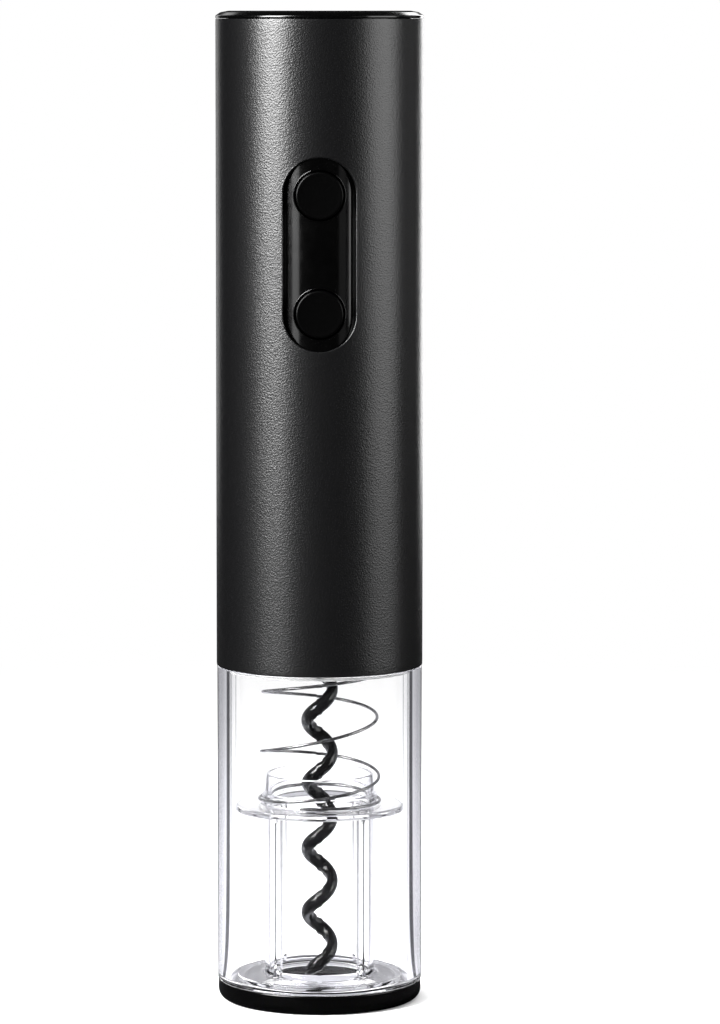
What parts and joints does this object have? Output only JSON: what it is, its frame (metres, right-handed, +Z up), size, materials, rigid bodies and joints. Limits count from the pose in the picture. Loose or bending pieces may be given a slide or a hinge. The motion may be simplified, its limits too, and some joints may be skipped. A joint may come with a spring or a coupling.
{
  "type": "electric wine opener",
  "caption": "Upright cordless wine opener: black cylinder with two push buttons over a clear tube holding a motor-driven corkscrew and a sprung cork guide.",
  "frame": {"origin": "centre of the footprint, on the surface it stands on", "axes": "+Z up along the body, -Y towards the button panel, +Y towards the charging socket"},
  "size_m": [0.05, 0.05, 0.24],
  "materials": {
    "shell_black": "fine-grained black",
    "gloss_black": "high-gloss black",
    "satin_black": "satin black",
    "worm_black": "black non-stick coating",
    "clear_acrylic": "clear, polished",
    "light_grey_plastic": "satin",
    "dark_plastic": "moulded",
    "nylon": "moulded",
    "steel": "brushed",
    "spring_steel": "polished wire",
    "bronze": "machined",
    "ferrite": "sintered",
    "board_green": "solder resist",
    "battery_wrap": "shrink sleeve",
    "red_insulation": "extruded",
    "black_insulation": "extruded"
  },
  "bodies": {
    "housing": {"base_ring": "satin_black", "clear_tube": "clear_acrylic", "bulkhead": "light_grey_plastic", "outer_shell": "shell_black", "top_cap": "gloss_black", "button_panel": "gloss_black", "guide_spring": "spring_steel", "output_bush": "bronze", "gearbox_cover": "dark_plastic", "ring_gear": "nylon", "gearbox_plate": "steel", "motor_can": "steel", "motor_magnet_left": "ferrite", "motor_magnet_right": "ferrite", "motor_end_cap": "dark_plastic", "chassis_front": "dark_plastic", "chassis_back": "dark_plastic", "battery_cell": "battery_wrap", "battery_tab_bottom": "steel", "battery_tab_top": "steel", "main_board": "board_green", "switch_up": "dark_plastic", "switch_down": "dark_plastic", "charge_board": "board_green", "usb_socket": "steel", "charge_light": "clear_acrylic", "motor_wire_red": "red_insulation", "motor_wire_black": "black_insulation", "battery_wire_black": "black_insulation", "battery_wire_red": "red_insulation", "charge_wire": "red_insulation", "gearbox_screw_1": "steel", "gearbox_screw_2": "steel", "gearbox_screw_3": "steel", "motor_screw_1": "steel", "board_screw_1": "steel", "motor_screw_2": "steel", "board_screw_2": "steel", "chassis_screw_1": "steel", "chassis_screw_2": "steel", "chassis_screw_3": "steel", "chassis_screw_4": "steel"},
    "cork_guide": {"cork_guide": "clear_acrylic"},
    "button_up": {"button_up": "satin_black"},
    "button_down": {"button_down": "satin_black"},
    "motor_rotor": {"motor_rotor": "steel", "motor_pinion": "bronze"},
    "first_carrier": {"first_carrier": "steel"},
    "corkscrew": {"corkscrew": "worm_black", "worm_holder": "dark_plastic", "output_carrier": "steel"},
    "first_planet_1": {"first_planet_1": "nylon"},
    "second_planet_1": {"second_planet_1": "nylon"},
    "first_planet_2": {"first_planet_2": "nylon"},
    "second_planet_2": {"second_planet_2": "nylon"},
    "first_planet_3": {"first_planet_3": "nylon"},
    "second_planet_3": {"second_planet_3": "nylon"}
  },
  "joints": [
    {"name": "motor_spin", "type": "hinge", "parent": "housing", "child": "motor_rotor", "pos_m": [0, 0, 0.13], "axis": [0, 0, 1], "continuous": true},
    {"name": "first_carrier_spin", "type": "hinge", "parent": "housing", "child": "first_carrier", "pos_m": [0, 0, 0.106], "axis": [0, 0, 1], "continuous": true},
    {"name": "corkscrew_spin", "type": "hinge", "parent": "housing", "child": "corkscrew", "pos_m": [0, 0, 0.05], "axis": [0, 0, 1], "continuous": true},
    {"name": "first_planet_1_spin", "type": "hinge", "parent": "first_carrier", "child": "first_planet_1", "pos_m": [0.0075, 0, 0.1097], "axis": [0, 0, 1], "continuous": true},
    {"name": "second_planet_1_spin", "type": "hinge", "parent": "corkscrew", "child": "second_planet_1", "pos_m": [0.0075, 0, 0.102], "axis": [0, 0, 1], "continuous": true},
    {"name": "first_planet_2_spin", "type": "hinge", "parent": "first_carrier", "child": "first_planet_2", "pos_m": [-0.00375, 0.0065, 0.1097], "axis": [0, 0, 1], "continuous": true},
    {"name": "second_planet_2_spin", "type": "hinge", "parent": "corkscrew", "child": "second_planet_2", "pos_m": [-0.00375, 0.0065, 0.102], "axis": [0, 0, 1], "continuous": true},
    {"name": "first_planet_3_spin", "type": "hinge", "parent": "first_carrier", "child": "first_planet_3", "pos_m": [-0.00375, -0.0065, 0.1097], "axis": [0, 0, 1], "continuous": true},
    {"name": "second_planet_3_spin", "type": "hinge", "parent": "corkscrew", "child": "second_planet_3", "pos_m": [-0.00375, -0.0065, 0.102], "axis": [0, 0, 1], "continuous": true},
    {"name": "cork_guide_slide", "type": "slide", "parent": "housing", "child": "cork_guide", "axis": [0, 0, 1], "range_m": [0, 0.022], "stiffness_N_per_m": 130, "springref_m": -0.01, "deforming": ["guide_spring"]},
    {"name": "button_up_press", "type": "slide", "parent": "housing", "child": "button_up", "axis": [0, 1, 0], "range_m": [0, 0.0008], "stiffness_N_per_m": 900, "springref_m": -0.0006},
    {"name": "button_down_press", "type": "slide", "parent": "housing", "child": "button_down", "axis": [0, 1, 0], "range_m": [0, 0.0008], "stiffness_N_per_m": 900, "springref_m": -0.0006}
  ],
  "couplings": [
    {"joint": "first_carrier_spin", "follows": "motor_spin", "ratio": 0.2},
    {"joint": "corkscrew_spin", "follows": "motor_spin", "ratio": 0.04},
    {"joint": "first_planet_1_spin", "follows": "motor_spin", "ratio": -0.53333},
    {"joint": "second_planet_1_spin", "follows": "motor_spin", "ratio": -0.10667},
    {"joint": "first_planet_2_spin", "follows": "motor_spin", "ratio": -0.53333},
    {"joint": "second_planet_2_spin", "follows": "motor_spin", "ratio": -0.10667},
    {"joint": "first_planet_3_spin", "follows": "motor_spin", "ratio": -0.53333},
    {"joint": "second_planet_3_spin", "follows": "motor_spin", "ratio": -0.10667}
  ]
}
